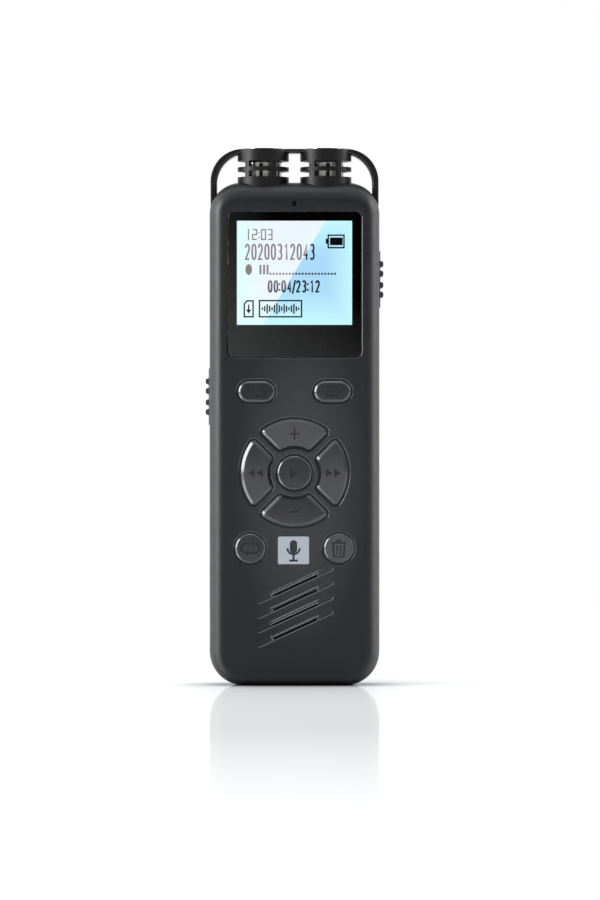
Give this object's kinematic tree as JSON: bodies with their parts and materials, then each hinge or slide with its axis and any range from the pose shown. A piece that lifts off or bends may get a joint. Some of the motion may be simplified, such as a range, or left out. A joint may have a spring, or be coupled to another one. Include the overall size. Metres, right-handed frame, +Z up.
{
  "type": "handheld voice recorder",
  "caption": "Slim upright voice recorder with a small display, a ring of control keys, side sliders, a speaker grille and slotted microphone towers under a guard hoop.",
  "frame": {"origin": "middle of the bottom end, on the surface that the recorder stands on", "axes": "+Z up along the recorder's length towards the microphones, -Y out of the display side, +X to the right of someone facing the display"},
  "size_m": [0.0366, 0.0144, 0.1118],
  "materials": {
    "casing": "soft-touch satin black",
    "keys": "semi-gloss dark grey",
    "window": "clear gloss with a black printed border",
    "display_panel": "pale blue backlit liquid-crystal panel",
    "white_plastic": "matt white",
    "microphone_plastic": "satin black",
    "hoop_metal": "semi-gloss black paint",
    "polished_metal": "polished",
    "steel": "plain zinc-plated",
    "badge": "satin",
    "board": "solder-mask green",
    "rubber": "matt black",
    "black_plastic": "matt black",
    "foil": "satin foil",
    "amber_film": "translucent amber film",
    "red_insulation": "matt red",
    "mesh_metal": "dark perforated sheet"
  },
  "bodies": {
    "housing": {"front_shell": "casing", "rear_shell": "casing", "front_badge": "badge", "screw_bottom_left": "steel", "screw_bottom_right": "steel", "screw_upper_left": "steel", "screw_upper_right": "steel", "display_window": "window", "lcd_panel": "display_panel", "lcd_backlight": "white_plastic", "lcd_holder": "black_plastic", "lcd_ribbon": "amber_film", "ribbon_connector": "white_plastic", "keypad_mat": "rubber", "dome_sheet": "foil", "record_switch": "steel", "power_switch": "steel", "left_mic_barrel": "microphone_plastic", "left_mic_capsule": "polished_metal", "left_mic_boot": "rubber", "left_mic_cap": "polished_metal", "right_mic_barrel": "microphone_plastic", "right_mic_capsule": "polished_metal", "right_mic_boot": "rubber", "right_mic_cap": "polished_metal", "mic_hoop": "hoop_metal", "speaker_frame": "steel", "speaker_cone": "black_plastic", "speaker_magnet": "steel", "speaker_gasket": "rubber", "speaker_mesh": "mesh_metal", "circuit_board": "board", "usb_socket": "steel", "headphone_jack": "black_plastic", "card_socket": "steel", "processor_chip": "black_plastic", "memory_chip": "black_plastic", "clock_crystal": "steel", "status_led": "white_plastic", "light_pipe": "black_plastic", "battery_cell": "foil", "battery_pad": "rubber", "battery_lead_red": "red_insulation", "battery_lead_black": "rubber"},
    "back_button": {"back_button": "keys"},
    "menu_button": {"menu_button": "keys"},
    "volume_up_button": {"volume_up_button": "keys"},
    "rewind_button": {"rewind_button": "keys"},
    "volume_down_button": {"volume_down_button": "keys"},
    "forward_button": {"forward_button": "keys"},
    "play_button": {"play_button": "keys"},
    "repeat_button": {"repeat_button": "keys"},
    "delete_button": {"delete_button": "keys"},
    "record_slider": {"record_slider": "microphone_plastic", "record_switch_lever": "white_plastic"},
    "power_slider": {"power_slider": "microphone_plastic", "power_switch_lever": "white_plastic"}
  },
  "joints": [
    {"name": "back_press", "type": "slide", "parent": "housing", "child": "back_button", "axis": [0, 1, 0], "range_m": [0, 0.0004], "stiffness_N_per_m": 600, "springref_m": -0.001},
    {"name": "menu_press", "type": "slide", "parent": "housing", "child": "menu_button", "axis": [0, 1, 0], "range_m": [0, 0.0004], "stiffness_N_per_m": 600, "springref_m": -0.001},
    {"name": "volume_up_press", "type": "slide", "parent": "housing", "child": "volume_up_button", "axis": [0, 1, 0], "range_m": [0, 0.0004], "stiffness_N_per_m": 600, "springref_m": -0.001},
    {"name": "rewind_press", "type": "slide", "parent": "housing", "child": "rewind_button", "axis": [0, 1, 0], "range_m": [0, 0.0004], "stiffness_N_per_m": 600, "springref_m": -0.001},
    {"name": "volume_down_press", "type": "slide", "parent": "housing", "child": "volume_down_button", "axis": [0, 1, 0], "range_m": [0, 0.0004], "stiffness_N_per_m": 600, "springref_m": -0.001},
    {"name": "forward_press", "type": "slide", "parent": "housing", "child": "forward_button", "axis": [0, 1, 0], "range_m": [0, 0.0004], "stiffness_N_per_m": 600, "springref_m": -0.001},
    {"name": "play_press", "type": "slide", "parent": "housing", "child": "play_button", "axis": [0, 1, 0], "range_m": [0, 0.0004], "stiffness_N_per_m": 600, "springref_m": -0.001},
    {"name": "repeat_press", "type": "slide", "parent": "housing", "child": "repeat_button", "axis": [0, 1, 0], "range_m": [0, 0.0004], "stiffness_N_per_m": 600, "springref_m": -0.001},
    {"name": "delete_press", "type": "slide", "parent": "housing", "child": "delete_button", "axis": [0, 1, 0], "range_m": [0, 0.0004], "stiffness_N_per_m": 600, "springref_m": -0.001},
    {"name": "record_slide", "type": "slide", "parent": "housing", "child": "record_slider", "axis": [0, 0, 1], "range_m": [0, 0.0025]},
    {"name": "power_slide", "type": "slide", "parent": "housing", "child": "power_slider", "axis": [0, 0, 1], "range_m": [-0.0013, 0.0013]}
  ]
}
